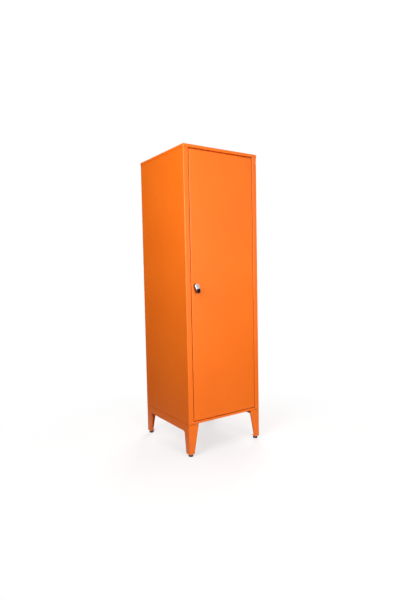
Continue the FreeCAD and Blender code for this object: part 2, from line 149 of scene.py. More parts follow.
def orangePowderCoat():
    material, tree, shader, place = newFinish("orangePowderCoat")
    patch = cloud(tree, place, *paint["patches"])
    tone = tint(tree, span(tree, patch, *paint["patchRange"], 0, 1), paint["deep"], paint["light"])
    band = addNode(tree, "ShaderNodeAttribute", attribute_name="edgeBand").outputs["Fac"]
    wear = span(tree, cloud(tree, place, *paint["wear"]), *paint["wearRange"], *paint["wearShare"])
    worn = maths(tree, "MULTIPLY", band, wear)
    # painted shade: ambient occlusion darkens seams, creases and gaps towards the seam tone
    wires = {"Distance": paint["seamReach"]}
    airy = addNode(tree, "ShaderNodeAmbientOcclusion", wires, samples=paint["seamRays"]).outputs["AO"]
    seam = span(tree, airy, *paint["seamRange"], 0, paint["seamShare"])
    tone = tint(tree, seam, tint(tree, worn, tone, paint["edge"]), paint["seam"])
    peel = cloud(tree, place, *paint["peel"])
    fine = cloud(tree, place, *paint["grain"])
    relief = bumpy(tree, fine, paint["grainDepth"], bumpy(tree, peel, paint["peelDepth"]))
    rough = span(tree, cloud(tree, place, *paint["gloss"]), *paint["glossRange"], *paint["rough"])
    plug(tree, shader, Base_Color=tone, Roughness=rough, Normal=relief)
    shader.inputs["Specular IOR Level"].default_value = paint["specular"]
    return material


# zinc plate: cool grey with a faint yellow passivation in patches, fine drawn lines
zinc = {
    "cool": (0.60, 0.62, 0.65, 1),
    "warm": (0.66, 0.63, 0.53, 1),
    "patches": (90.0, 3.0),
    "patchRange": (0.4, 0.65),
    "warmShare": 0.7,
    "stretch": (1, 1, 0.05),
    "lines": (2200.0, 2.0),
    "lineDepth": 0.000004,
    "lineRange": (0.3, 0.7),
    "rough": (0.29, 0.38),
}


def zincPlate():
    material, tree, shader, place = newFinish("zincPlate")
    patch = cloud(tree, place, *zinc["patches"])
    lines = cloud(tree, stretched(tree, place, zinc["stretch"]), *zinc["lines"])
    share = span(tree, patch, *zinc["patchRange"], 0, zinc["warmShare"])
    tone = tint(tree, share, zinc["cool"], zinc["warm"])
    rough = span(tree, lines, *zinc["lineRange"], *zinc["rough"])
    plug(tree, shader, Base_Color=tone, Roughness=rough, Normal=bumpy(tree, lines, zinc["lineDepth"]))
    shader.inputs["Metallic"].default_value = 1.0
    return material


# polished chrome with faint hairlines and finger haze; walls marked as flank are duller and carry a painted
# reflection: a dark brown that stands in for the shaded surroundings they mirror
chrome = {
    "clean": (0.53, 0.55, 0.60, 1),
    "hazy": (0.46, 0.47, 0.50, 1),
    # painted reflection: the dark brown of the flanks
    "dark": (0.20, 0.14, 0.11, 1),
    "haze": (120.0, 4.0),
    "hazeRange": (0.45, 0.7),
    "hazeShare": 0.6,
    "dullRange": (0.4, 0.7),
    "rough": (0.05, 0.11),
    "stretch": (1, 1, 0.08),
    "hairs": (1400.0, 1.0),
    "hairRange": (0.5, 0.75),
    "hairRough": 0.04,
    "darkRough": 0.2,
}


def polishedChrome():
    material, tree, shader, place = newFinish("polishedChrome")
    haze = cloud(tree, place, *chrome["haze"])
    hairs = cloud(tree, stretched(tree, place, chrome["stretch"]), *chrome["hairs"])
    share = span(tree, haze, *chrome["hazeRange"], 0, chrome["hazeShare"])
    tone = tint(tree, share, chrome["clean"], chrome["hazy"])
    dull = span(tree, haze, *chrome["dullRange"], *chrome["rough"])
    rough = maths(tree, "ADD", dull, span(tree, hairs, *chrome["hairRange"], 0, chrome["hairRough"]))
    # painted reflection: flank walls take the dark tone instead of the chrome's own
    flank = addNode(tree, "ShaderNodeAttribute", attribute_name="flank").outputs["Fac"]
    rough = maths(tree, "ADD", rough, maths(tree, "MULTIPLY", flank, chrome["darkRough"]))
    plug(tree, shader, Base_Color=tint(tree, flank, tone, chrome["dark"]), Roughness=rough)
    shader.inputs["Metallic"].default_value = 1.0
    return material


# moulded plastics and rubber differ in tone, gloss and grain only
mould = {"patches": (140.0, 4.0), "toneRange": (0.35, 0.7), "roughRange": (0.3, 0.7)}
moulded = {
    "black_plastic": {"dark": (0.006, 0.005, 0.005, 1), "pale": (0.016, 0.014, 0.013, 1),
                      "grain": (1500.0, 2.0), "depth": 0.00006, "rough": (0.42, 0.58)},
    "bush_nylon": {"dark": (0.17, 0.040, 0.009, 1), "pale": (0.23, 0.060, 0.016, 1),
                   "grain": (900.0, 2.0), "depth": 0.00003, "rough": (0.36, 0.5)},
    "bumper_rubber": {"dark": (0.016, 0.016, 0.017, 1), "pale": (0.04, 0.039, 0.038, 1),
                      "grain": (2200.0, 2.0), "depth": 0.00008, "rough": (0.72, 0.9)},
}


def mouldedFinish(slot):
    spec = moulded[slot]
    material, tree, shader, place = newFinish(slot)
    patch = cloud(tree, place, *mould["patches"])
    grain = cloud(tree, place, *spec["grain"])
    tone = tint(tree, span(tree, patch, *mould["toneRange"], 0, 1), spec["dark"], spec["pale"])
    rough = span(tree, patch, *mould["roughRange"], *spec["rough"])
    plug(tree, shader, Base_Color=tone, Roughness=rough, Normal=bumpy(tree, grain, spec["depth"]))
    return material


finishes = {
    "orange_paint": orangePowderCoat(),
    "zinc_steel": zincPlate(),
    "knob_chrome": polishedChrome(),
}
finishes.update({slot: mouldedFinish(slot) for slot in moulded})
print("finishes ready:", ", ".join(finishes))


def camel(node):
    first, *rest = node.split("_")
    return first + "".join(word.capitalize() for word in rest)


def addPiece(name, mesh, body, slot, stoodFor=()):
    mesh.name = name
    mesh.materials.clear()
    mesh.materials.append(finishes[slot])
    piece = bpy.data.objects.new(name, mesh)
    scene.collection.objects.link(piece)
    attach(piece, body)
    if stoodFor:
        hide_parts(*stoodFor)


def meshOf(shape, name):
    mesh = bpy.data.meshes.new(name)
    shape.to_mesh(mesh)
    shape.free()
    return mesh


def holderOf(name, mesh):
    holder = bpy.data.objects.new(name + "Holder", mesh)
    scene.collection.objects.link(holder)
    return holder


# the mesh that an object's modifiers give, with the object taken away again
def settled(holder):
    seen = holder.evaluated_get(bpy.context.evaluated_depsgraph_get())
    mesh = bpy.data.meshes.new_from_object(seen)
    holder.modifiers.clear()
    bpy.data.objects.remove(holder)
    return mesh


# angle between faces, in degrees, past which an edge stays sharp
keptSharp = {
    "sheet": 50,
    "pad": 40,
    "thread": 60,
    "hexagon": 20,
    "bolt": 30,
    "barrel": 50,
    "turned": 35,
    "weld": 60,
}


# smooth shading that keeps flats flat: normals lean to the larger faces
def flatLit(mesh, name, kind):
    mesh.shade_smooth()
    mesh.set_sharp_from_angle(angle=math.radians(keptSharp[kind]))
    holder = holderOf(name, mesh)
    leaning = holder.modifiers.new("leaning", "WEIGHTED_NORMAL")
    leaning.keep_sharp = True
    leaning.weight = 100
    return settled(holder)


# points this near each other, in metres, become one; faces this near level, in degrees, too
mergedAt = {"skin": 1e-6, "loft": 1e-7, "cut": 2e-6, "flat": 0.3}


# adds or takes away one closed shape from another
def combined(name, mesh, other, operation):
    holder = holderOf(name, mesh)
    tool = holderOf(name + "Tool", other)
    step = holder.modifiers.new("step", "BOOLEAN")
    step.operation = operation
    step.solver = "EXACT"
    step.object = tool
    holder.modifiers.new("merge", "WELD").merge_threshold = mergedAt["cut"]
    result = settled(holder)
    bpy.data.objects.remove(tool)
    return result


def together(name, meshes):
    shape = bmesh.new()
    for mesh in meshes:
        shape.from_mesh(mesh)
    return meshOf(shape, name)


# a copy of a node's mesh as one skin of whole faces
def wholeFaces(node):
    shape = bmesh.new()
    shape.from_mesh(nodes[node].data)
    bmesh.ops.remove_doubles(shape, verts=shape.verts, dist=mergedAt["skin"])
    level = math.radians(mergedAt["flat"])
    bmesh.ops.dissolve_limit(shape, angle_limit=level, verts=shape.verts, edges=shape.edges)
    return shape


def roundEdges(shape, width, segments, sharp):
    band = shape.faces.layers.float.new("edgeBand")
    edges = [e for e in shape.edges if e.is_manifold and e.calc_face_angle(0) > math.radians(sharp)]
    made = bmesh.ops.bevel(
        shape, geom=edges, offset=width, offset_type="OFFSET", segments=segments,
        profile=0.5, affect="EDGES", clamp_overlap=True,
    )
    for face in made["faces"]:
        face[band] = 1.0


# sheet and small hardware: the node's own form with its edges rounded
edgeRounds = {
    "orange_paint": {"width": 0.00025, "segments": 2, "sharp": 30},   # paint drawn thin over cut edges
    "zinc_steel": {"width": 0.00025, "segments": 2, "sharp": 30},
    "bush_nylon": {"width": 0.0002, "segments": 2, "sharp": 30},
    "bumper_rubber": {"width": 0.0008, "segments": 4, "sharp": 30},
}
turnedPieces = {"turn_knob", "lock_barrel", "lock_nut", "cam_screw", "leg_bolts", "leg_nuts"}
for part in ("foot_pad", "foot_stud", "foot_nut"):
    turnedPieces.update(part + "_" + corner for corner in corners)


def roundedCopy(node):
    slot = slotOf[node]
    shape = wholeFaces(node)
    roundEdges(shape, **edgeRounds[slot])
    mesh = flatLit(meshOf(shape, camel(node)), camel(node), "sheet")
    addPiece(camel(node), mesh, bodyOf[node], slot, [node])


for node in nodes:
    if node not in turnedPieces:
        roundedCopy(node)
print("sheet metal and plain hardware dressed")


# skin over a row of rings with equal counts; rings of no size close its ends
def lofted(rings, loop=False):
    shape = bmesh.new()
    grid = [[shape.verts.new(point) for point in ring] for ring in rings]
    pairs = list(zip(grid, grid[1:]))
    if loop:
        pairs.append((grid[-1], grid[0]))
    for near, far in pairs:
        for k in range(len(near)):
            shape.faces.new((near[k - 1], near[k], far[k], far[k - 1]))
    bmesh.ops.remove_doubles(shape, verts=shape.verts, dist=mergedAt["loft"])
    bmesh.ops.recalc_face_normals(shape, faces=shape.faces)
    return shape


# a path of points with its inner corners rounded
cornerShare = 0.48     # most of a run that the rounding at one end may take


def softened(points, radius, steps=5):
    path = [Vector(point) for point in points]
    soft = [path[0]]
    for before, corner, after in zip(path, path[1:], path[2:]):
        back, onward = before - corner, after - corner
        reach = min(radius, back.length * cornerShare, onward.length * cornerShare)
        start = corner + back.normalized() * reach
        end = corner + onward.normalized() * reach
        for k in range(steps + 1):
            soft.append(start.lerp(corner, k / steps).lerp(corner.lerp(end, k / steps), k / steps))
    soft.append(path[-1])
    return soft


# a profile of radius and height turned about +Z
def turned(profile, around, loop=False):
    angles = [math.tau * k / around for k in range(around)]
    rings = [[Vector((r * math.cos(a), r * math.sin(a), h)) for a in angles] for r, h in profile]
    return lofted(rings, loop)


def newTree(name, sizes):
    tree = bpy.data.node_groups.new(name, "GeometryNodeTree")
    tree.interface.new_socket("Geometry", in_out="INPUT", socket_type="NodeSocketGeometry")
    for label, kind in sizes.items():
        tree.interface.new_socket(label, in_out="INPUT", socket_type="NodeSocket" + kind)
    tree.interface.new_socket("Finish", in_out="INPUT", socket_type="NodeSocketMaterial")
    tree.interface.new_socket("Geometry", in_out="OUTPUT", socket_type="NodeSocketGeometry")
    return tree, addNode(tree, "NodeGroupInput").outputs


def closeTree(tree, given, geometry):
    whole = addNode(tree, "GeometryNodeRealizeInstances", {"Geometry": geometry}).outputs[0]
    wires = {"Geometry": whole, "Material": given["Finish"]}
    painted = addNode(tree, "GeometryNodeSetMaterial", wires).outputs[0]
    addNode(tree, "NodeGroupOutput", {"Geometry": painted})


def setOut(tree, points, mark, turn):
    facing = addNode(tree, "FunctionNodeEulerToRotation", {0: turn}).outputs[0]
    wires = {"Points": points, "Instance": mark, "Rotation": facing}
    return addNode(tree, "GeometryNodeInstanceOnPoints", wires).outputs[0]


# runs a tree on a mesh; its inputs are set by identifier
def grown(tree, name, mesh, slot, sizes):
    holder = holderOf(name, mesh)
    growth = holder.modifiers.new("growth", "NODES")
    growth.node_group = tree
    values = dict(sizes, Finish=finishes[slot])
    for socket in tree.interface.items_tree:
        if socket.in_out == "INPUT" and socket.name in values:
            growth[socket.identifier] = values[socket.name]
    return settled(holder)


# spiral groove pressed into a fine round wall, faded at both ends
threadSkin = 0.98     # share of the radius beyond which a point is on the wall


def threadTree():
    sizes = {"Radius": "Float", "Pitch": "Float", "Depth": "Float", "Start": "Float", "End": "Float"}
    tree, given = newTree("threadCut", sizes)
    spot = addNode(tree, "GeometryNodeInputPosition").outputs[0]
    x, y, z = addNode(tree, "ShaderNodeSeparateXYZ", {0: spot}).outputs
    lap = maths(tree, "DIVIDE", maths(tree, "ARCTAN2", y, x), math.tau)
    phase = maths(tree, "SUBTRACT", maths(tree, "DIVIDE", z, given["Pitch"]), lap)
    groove = maths(tree, "MULTIPLY", maths(tree, "PINGPONG", phase, 0.5), 2.0)     # 0 to 1 and back
    fadeIn = span(tree, z, given["Start"], maths(tree, "ADD", given["Start"], given["Pitch"]), 0, 1)
    fadeOut = span(tree, z, maths(tree, "SUBTRACT", given["End"], given["Pitch"]), given["End"], 1, 0)
    share = maths(tree, "MULTIPLY", groove, maths(tree, "MULTIPLY", fadeIn, fadeOut))
    cut = maths(tree, "MULTIPLY", share, maths(tree, "DIVIDE", given["Depth"], given["Radius"]))
    kept = maths(tree, "SUBTRACT", 1.0, cut)
    moved = {"X": maths(tree, "MULTIPLY", x, kept), "Y": maths(tree, "MULTIPLY", y, kept), "Z": z}
    squares = maths(tree, "ADD", maths(tree, "MULTIPLY", x, x), maths(tree, "MULTIPLY", y, y))
    out = maths(tree, "SQRT", squares)
    outer = maths(tree, "GREATER_THAN", out, maths(tree, "MULTIPLY", given["Radius"], threadSkin))
    wires = {"Geometry": given["Geometry"], "Selection": outer}
    wires["Position"] = addNode(tree, "ShaderNodeCombineXYZ", moved).outputs[0]
    closeTree(tree, given, addNode(tree, "GeometryNodeSetPosition", wires).outputs[0])
    return tree


# six-sided head or nut: prism cut by two cones, bored if it has a bore, set on each point
hexShape = {
    "rim": 0.485,         # radius of the level end inside the chamfer, as a share of the flats
    "coneSides": 72,
    "boreSides": 48,
}


def hexTree():
    sizes = {"Flats": "Float", "Height": "Float", "Bore": "Float", "Turn": "Vector"}
    tree, given = newTree("hexFastener", sizes)
    tall = given["Height"]
    half = maths(tree, "DIVIDE", tall, 2.0)
    corner = maths(tree, "DIVIDE", given["Flats"], math.sqrt(3))
    wires = {"Vertices": 6, "Radius": corner, "Depth": tall}
    prism = addNode(tree, "GeometryNodeMeshCylinder", wires).outputs["Mesh"]
    rim = maths(tree, "MULTIPLY", given["Flats"], hexShape["rim"])
    spread = maths(tree, "ADD", rim, maths(tree, "MULTIPLY", tall, math.sqrt(3)))
    wires = {"Vertices": hexShape["coneSides"], "Radius Top": rim, "Radius Bottom": spread, "Depth": tall}
    cone = addNode(tree, "GeometryNodeMeshCone", wires).outputs["Mesh"]

    def shifted(mesh, height, turn=(0, 0, 0)):
        up = addNode(tree, "ShaderNodeCombineXYZ", {"Z": height}).outputs[0]
        wires = {"Geometry": mesh, "Translation": up, "Rotation": turn}
        return addNode(tree, "GeometryNodeTransform", wires).outputs[0]

    below = maths(tree, "MULTIPLY", half, -1.0)
    chamfer = addNode(tree, "GeometryNodeMeshBoolean", operation="INTERSECT", solver="EXACT")
    for mesh in (prism, shifted(cone, below), shifted(cone, half, (math.pi, 0, 0))):
        tree.links.new(mesh, chamfer.inputs["Mesh 2"])
    through = maths(tree, "MULTIPLY", tall, 2.0)
    wires = {"Vertices": hexShape["boreSides"], "Radius": given["Bore"], "Depth": through}
    drill = addNode(tree, "GeometryNodeMeshCylinder", wires).outputs["Mesh"]
    solid = chamfer.outputs["Mesh"]
    wires = {"Mesh 1": solid, "Mesh 2": drill}
    bored = addNode(tree, "GeometryNodeMeshBoolean", wires, operation="DIFFERENCE", solver="EXACT")
    holed = maths(tree, "GREATER_THAN", given["Bore"], 0.0)
    wires = {"Switch": holed, "False": solid, "True": bored.outputs[0]}
    either = addNode(tree, "GeometryNodeSwitch", wires, input_type="GEOMETRY").outputs[0]
    wires = {"Geometry": either, "Distance": mergedAt["cut"]}
    clean = addNode(tree, "GeometryNodeMergeByDistance", wires).outputs[0]
    closeTree(tree, given, setOut(tree, given["Geometry"], shifted(clean, half), given["Turn"]))
    return tree


# ring marks that spot welding leaves, evenly along seams
weldRing = {"sides": 24, "beadSides": 6}


def weldTree():
    sizes = {"Spacing": "Float", "Radius": "Float", "Bead": "Float", "Turn": "Vector"}
    tree, given = newTree("weldRow", sizes)
    seam = addNode(tree, "GeometryNodeMeshToCurve", {"Mesh": given["Geometry"]}).outputs[0]
    wires = {"Curve": seam, "Length": given["Spacing"]}
    spots = addNode(tree, "GeometryNodeResampleCurve", wires, mode="LENGTH").outputs[0]
    wires = {"Resolution": weldRing["sides"], "Radius": given["Radius"]}
    ring = addNode(tree, "GeometryNodeCurvePrimitiveCircle", wires).outputs[0]
    wires = {"Resolution": weldRing["beadSides"], "Radius": given["Bead"]}
    bead = addNode(tree, "GeometryNodeCurvePrimitiveCircle", wires).outputs[0]
    mark = addNode(tree, "GeometryNodeCurveToMesh", {"Curve": ring, "Profile Curve": bead}).outputs[0]
    closeTree(tree, given, setOut(tree, spots, mark, given["Turn"]))
    return tree


threadCut = threadTree()
hexFastener = hexTree()
weldRow = weldTree()
towardsBack = (-math.pi / 2, 0, 0)     # turns +Z to +Y
backward = Matrix.Rotation(-math.pi / 2, 4, "X")


# round bar along +Z from the origin, a spiral groove along its wall
def threadedRod(name, slot, radius, length, pitch, depth, bore=0.0, plain=0.0, around=24, rows=6):
    steps = int((length - 2 * depth) / pitch * rows)
    wall = [(radius, depth + (length - 2 * depth) * k / steps) for k in range(steps + 1)]
    profile = [(bore, 0), (radius - depth, 0)] + wall + [(radius - depth, length), (bore, length)]
    mesh = meshOf(turned(profile, around, loop=bore > 0), name)
    sizes = {"Radius": radius, "Pitch": pitch, "Depth": depth, "Start": plain, "End": length}
    return grown(threadCut, name, mesh, slot, sizes)


def hexagons(name, slot, places, flats, height, bore=0.0, turn=(0, 0, 0)):
    mesh = bpy.data.meshes.new(name)
    mesh.from_pydata(places, [], [])
    sizes = {"Flats": flats, "Height": height, "Bore": bore, "Turn": turn}
    return grown(hexFastener, name, mesh, slot, sizes)


# boxes of the separate solids in one node, in the order of its points
def solidBoxes(node):
    shape = wholeFaces(node)
    found = set()
    boxes = []
    for first in shape.verts:
        if first in found:
            continue
        found.add(first)
        grow = [first]
        spots = []
        while grow:
            vert = grow.pop()
            spots.append(vert.co.copy())
            beside = [e.other_vert(vert) for e in vert.link_edges]
            fresh = [other for other in beside if other not in found]
            found.update(fresh)
            grow += fresh
        low = Vector([min(p[k] for p in spots) for k in range(3)])
        boxes.append((low, Vector([max(p[k] for p in spots) for k in range(3)])))
    shape.free()
    return boxes


def underMiddle(low, high):
    return Vector(((low.x + high.x) / 2, (low.y + high.y) / 2, low.z))


# levelling feet: moulded pad, threaded stud
foot = {"radius": 0.011, "rim": 0.0045, "boss": 0.0075, "chamfer": 0.001, "soft": 0.0012, "around": 64}
stud = {"radius": 0.004, "pitch": 0.00125, "depth": 0.0006}


def levellingFoot(corner):
    body = "foot_" + corner
    padNode, studNode = "foot_pad_" + corner, "foot_stud_" + corner
    low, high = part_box(padNode)
    tall = high.z - low.z
    profile = [(0, 0), (foot["radius"] - foot["chamfer"], 0), (foot["radius"], foot["chamfer"]),
               (foot["radius"], foot["rim"]), (foot["boss"], tall), (0, tall)]
    pad = meshOf(turned(softened(profile, foot["soft"]), foot["around"]), camel(padNode))
    pad.transform(Matrix.Translation(underMiddle(low, high)))
    addPiece(camel(padNode), flatLit(pad, camel(padNode), "pad"), body, slotOf[padNode], [padNode])
    low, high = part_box(studNode)
    rod = threadedRod(camel(studNode), slotOf[studNode], length=high.z - low.z, **stud)
    rod.transform(Matrix.Translation(underMiddle(low, high)))
    addPiece(camel(studNode), flatLit(rod, camel(studNode), "thread"), body, slotOf[studNode], [studNode])


for corner in corners:
    levellingFoot(corner)
footNut = {"flats": 0.013, "bore": 0.00406}
nutNodes = ["foot_nut_" + corner for corner in corners]
nutBoxes = [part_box(node) for node in nutNodes]
nuts = hexagons("footNuts", "zinc_steel", [underMiddle(*b) for b in nutBoxes],
                height=nutBoxes[0][1].z - nutBoxes[0][0].z, **footNut)
addPiece("footNuts", flatLit(nuts, "footNuts", "hexagon"), "cabinet", "zinc_steel", nutNodes)
print("levelling feet done")

# bolts and nuts that hold the leg frames
legBolt = {
    "flats": 0.010,
    "head": 0.004,
    "radius": 0.003,
    "pitch": 0.001,
    "depth": 0.0005,
    "around": 20,
    "nutBore": 0.0031,
}


def legFasteners():
    boltBoxes = solidBoxes("leg_bolts")
    heads = hexagons("legBoltHeads", "zinc_steel", [underMiddle(*b) for b in boltBoxes],
                     flats=legBolt["flats"], height=legBolt["head"])
    shanks = []
    for low, high in boltBoxes:
        length = high.z - low.z - legBolt["head"]
        shank = threadedRod("legBoltShank", "zinc_steel", legBolt["radius"], length, legBolt["pitch"],
                            legBolt["depth"], around=legBolt["around"])
        shank.transform(Matrix.Translation(underMiddle(low, high) + Vector((0, 0, legBolt["head"]))))
        shanks.append(shank)
    bolts = together("legBolts", [heads] + shanks)
    addPiece("legBolts", flatLit(bolts, "legBolts", "bolt"), "cabinet", "zinc_steel", ["leg_bolts"])
    boxes = solidBoxes("leg_nuts")
    nuts = hexagons("legNuts", "zinc_steel", [underMiddle(*b) for b in boxes], flats=legBolt["flats"],
                    height=boxes[0][1].z - boxes[0][0].z, bore=legBolt["nutBore"])
    addPiece("legNuts", flatLit(nuts, "legNuts", "hexagon"), "cabinet", "zinc_steel", ["leg_nuts"])


legFasteners()
print("leg fasteners done")

# lock: collar and threaded tail, hexagon nut behind the skin, screw that holds the cam
lockAxis = Vector(joints["knob_turn"]["pos_m"])
lock = {
    "collar": 0.0095,
    "collarSoft": 0.0009,
    "collarAround": 64,
    "tail": 0.008,
    "tailPitch": 0.001,
    "tailDepth": 0.0005,
    "tailPlain": 0.002,   # the thread starts this far behind the collar
    "tailAround": 40,
    "bore": 0.00408,
    "nutFlats": 0.022,
    "nutBore": 0.0081,
    "screwHead": 0.005,
    "screwShaft": 0.0015,
    "screwSoft": 0.0014,
    "screwAround": 48,
    "screwRim": 0.45,     # share of the head's height that is upright
    "screwTop": 0.55,     # share of the head's radius that is level on top
    "recessLong": 0.0054,
    "recessWide": 0.0011,
    "recessDeep": 0.0014,
}


def lockBarrel():
    low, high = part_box("lock_barrel")
    collarTall = lockAxis.y - low.y
    ring = [(lock["bore"], collarTall), (lock["bore"], 0),
            (lock["collar"], 0), (lock["collar"], collarTall)]
    ring = softened(ring, lock["collarSoft"])
    collar = meshOf(turned(ring, lock["collarAround"], loop=True), "lockCollar")
    tail = threadedRod("lockTail", "knob_chrome", lock["tail"], high.y - lockAxis.y, lock["tailPitch"],
                       lock["tailDepth"], bore=lock["bore"], plain=lock["tailPlain"],
                       around=lock["tailAround"])
    tail.transform(Matrix.Translation((0, 0, collarTall)))
    barrel = together("lockBarrel", [collar, tail])
    barrel.transform(Matrix.Translation((lockAxis.x, low.y, lockAxis.z)) @ backward)
    barrel = flatLit(barrel, "lockBarrel", "barrel")
    addPiece("lockBarrel", barrel, "door", "knob_chrome", ["lock_barrel"])


def lockNut():
    low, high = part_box("lock_nut")
    nut = hexagons("lockNut", "zinc_steel", [(lockAxis.x, low.y, lockAxis.z)], lock["nutFlats"],
                   high.y - low.y, lock["nutBore"], towardsBack)
    addPiece("lockNut", flatLit(nut, "lockNut", "hexagon"), "door", "zinc_steel", ["lock_nut"])


# a cross in plan, three corners to each quarter
def crossPunch(low, high):
    long, slim = lock["recessLong"] / 2, lock["recessWide"] / 2
    outline = []
    for quarter in range(4):
        turn = Matrix.Rotation(math.pi / 2 * quarter, 2)
        outline += [turn @ Vector(point) for point in ((long, -slim), (long, slim), (slim, slim))]
    steps = ((0, low), (1, low), (1, high), (0, high))
    rings = [[(share * point).to_3d() + Vector((0, 0, z)) for point in outline] for share, z in steps]
    return lofted(rings)


def camScrew():
    low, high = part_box("cam_screw")
    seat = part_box("lock_cam")[1].y
    tall = high.y - seat
    shaft = seat - low.y
    head = lock["screwHead"]
    profile = [(0, -shaft), (lock["screwShaft"], -shaft), (lock["screwShaft"], 0), (head, 0),
               (head, tall * lock["screwRim"]), (head * lock["screwTop"], tall), (0, tall)]
    screw = meshOf(turned(softened(profile, lock["screwSoft"]), lock["screwAround"]), "camScrew")
    cross = meshOf(crossPunch(tall - lock["recessDeep"], tall + lock["recessDeep"]), "crossPunch")
    screw = combined("camScrew", screw, cross, "DIFFERENCE")
    screw.transform(Matrix.Translation((lockAxis.x, seat, lockAxis.z)) @ backward)
    addPiece("camScrew", flatLit(screw, "camScrew", "turned"), "knob", "zinc_steel", ["cam_screw"])


lockBarrel()
lockNut()
camScrew()

# knob: an oblong with a crowned face and rounded rim, leaning a little, on a neck and a spindle
knob = {
    "width": 0.0205,
    "long": 0.046,
    "thick": 0.016,
    "crown": 0.005,       # how far the face falls back at its two ends
    "rim": 0.003,
    "backRim": 0.0008,
    "lean": 16.5,         # degrees
    "neck": 0.008,
    "neckSoft": 0.001,
    "neckSunk": 0.004,    # the neck begins this far inside the grip
    "collarGap": 0.003,   # the neck stops this far before the door
    "spindle": 0.004,
    "square": 0.0025,
    "flankTilt": 20,      # walls within these degrees of the axis, and all behind them, get the painted dark reflection
    "rimSteps": 8,
    "arcSteps": 30,
    "sideSteps": 20,
    "faceSteps": 10,
    "stemAround": 48,
}


def oblong(radius, straight):
    points = []
    for side in (1, -1):
        for k in range(knob["arcSteps"]):
            angle = math.pi * k / knob["arcSteps"]
            points.append((side * radius * math.cos(angle), side * (straight + radius * math.sin(angle))))
        for k in range(knob["sideSteps"]):
            points.append((-side * radius, side * straight * (1 - 2 * k / knob["sideSteps"])))
    return points


def turnKnob():
    low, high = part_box("turn_knob")
    half = knob["width"] / 2
    straight = knob["long"] / 2 - half
    bow = (knob["long"] ** 2 / 4 + knob["crown"] ** 2) / (2 * knob["crown"])
    far = low.y + knob["thick"]

    def face(z):
        return low.y + bow - math.sqrt(bow ** 2 - z ** 2)

    def ring(radius, depth):
        return [Vector((x, depth(z), z)) for x, z in oblong(radius, straight)]

    quarter = [math.pi / 2 * k / knob["rimSteps"] for k in range(knob["rimSteps"] + 1)]
    rings = [ring(0, lambda z: far)]
    for angle in quarter:
        inset = knob["backRim"] * (1 - math.sin(angle))
        rings.append(ring(half - inset, lambda z, a=angle: far - knob["backRim"] * (1 - math.cos(a))))
    for angle in quarter:
        inset = knob["rim"] * (1 - math.cos(angle))
        rings.append(ring(half - inset, lambda z, a=angle: face(z) + knob["rim"] * (1 - math.sin(a))))
    for k in range(1, knob["faceSteps"] + 1):
        rings.append(ring((half - knob["rim"]) * (1 - k / knob["faceSteps"]), face))
    grip = meshOf(lofted(rings), "turnKnob")
    turn = Matrix.Rotation(-math.radians(knob["lean"]), 4, "Y")
    grip.transform(Matrix.Translation((lockAxis.x, 0, lockAxis.z)) @ turn)

    start = far - knob["neckSunk"]
    neckEnd = lockAxis.y - knob["collarGap"] - start
    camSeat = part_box("lock_cam")[0].y - start
    tip = high.y - start
    stem = [(0, 0), (knob["neck"], 0), (knob["neck"], neckEnd), (knob["spindle"], neckEnd)]
    stem = softened(stem, knob["neckSoft"]) + [(knob["spindle"], camSeat), (knob["square"], camSeat)]
    stem += [(knob["square"], tip), (0, tip)]
    shaft = meshOf(turned(stem, knob["stemAround"]), "knobStem")
    shaft.transform(Matrix.Translation((lockAxis.x, start, lockAxis.z)) @ backward)
    mesh = combined("turnKnob", grip, shaft, "UNION")
    # painted reflection: marks the flank walls that the chrome paints dark
    flank = mesh.attributes.new("flank", "FLOAT", "FACE").data
    for wall in mesh.polygons:
        flank[wall.index].value = float(wall.normal.y > -math.sin(math.radians(knob["flankTilt"])))
    addPiece("turnKnob", flatLit(mesh, "turnKnob", "turned"), "knob", "knob_chrome", ["turn_knob"])


turnKnob()
print("lock and knob done")

# spot weld marks along the rear flanges and the door stiffener's brims
weld = {
    "spacing": 0.11,
    "radius": 0.0026,
    "bead": 0.0003,
    "end": 0.05,          # the row stops this far from a seam's ends
    "flange": 0.010,      # from a side's outer face to the row on its rear flange
    "brim": 0.0075,       # from a brim's free edge to the row on it
    "sheet": 0.001,
}


def weldMarks(name, body, seams):
    mesh = bpy.data.meshes.new(name)
    ends = [end for seam in seams for end in seam]
    mesh.from_pydata(ends, [(2 * k, 2 * k + 1) for k in range(len(seams))], [])
    sizes = {"Spacing": weld["spacing"], "Radius": weld["radius"], "Bead": weld["bead"]}
    marks = grown(weldRow, name, mesh, "orange_paint", dict(sizes, Turn=towardsBack))
    addPiece(name, flatLit(marks, name, "weld"), body, "orange_paint")


def uprightSeam(x, y, low, high):
    return (Vector((x, y, low.z + weld["end"])), Vector((x, y, high.z - weld["end"])))


leftLow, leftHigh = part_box("left_side_panel")
rightLow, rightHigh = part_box("right_side_panel")
weldMarks("rearWelds", "cabinet", [
    uprightSeam(leftLow.x + weld["flange"], leftHigh.y, leftLow, leftHigh),
    uprightSeam(rightHigh.x - weld["flange"], rightHigh.y, rightLow, rightHigh),
])
brimLow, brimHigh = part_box("door_stiffener")
brimFace = brimLow.y + weld["sheet"]
weldMarks("stiffenerWelds", "door", [
    uprightSeam(brimLow.x + weld["brim"], brimFace, brimLow, brimHigh),
    uprightSeam(brimHigh.x - weld["brim"], brimFace, brimLow, brimHigh),
])
print("weld marks done")


# camera, fitted to the cabinet's edges in the photograph; angles in degrees
view = {
    "place": (-1.2060, -1.80605, 0.8121),
    "yaw": 33.715,
    "pitch": 3.712,
    "roll": -1.139,
    "lens": 26.74,
    "sensor": 36.0,
}


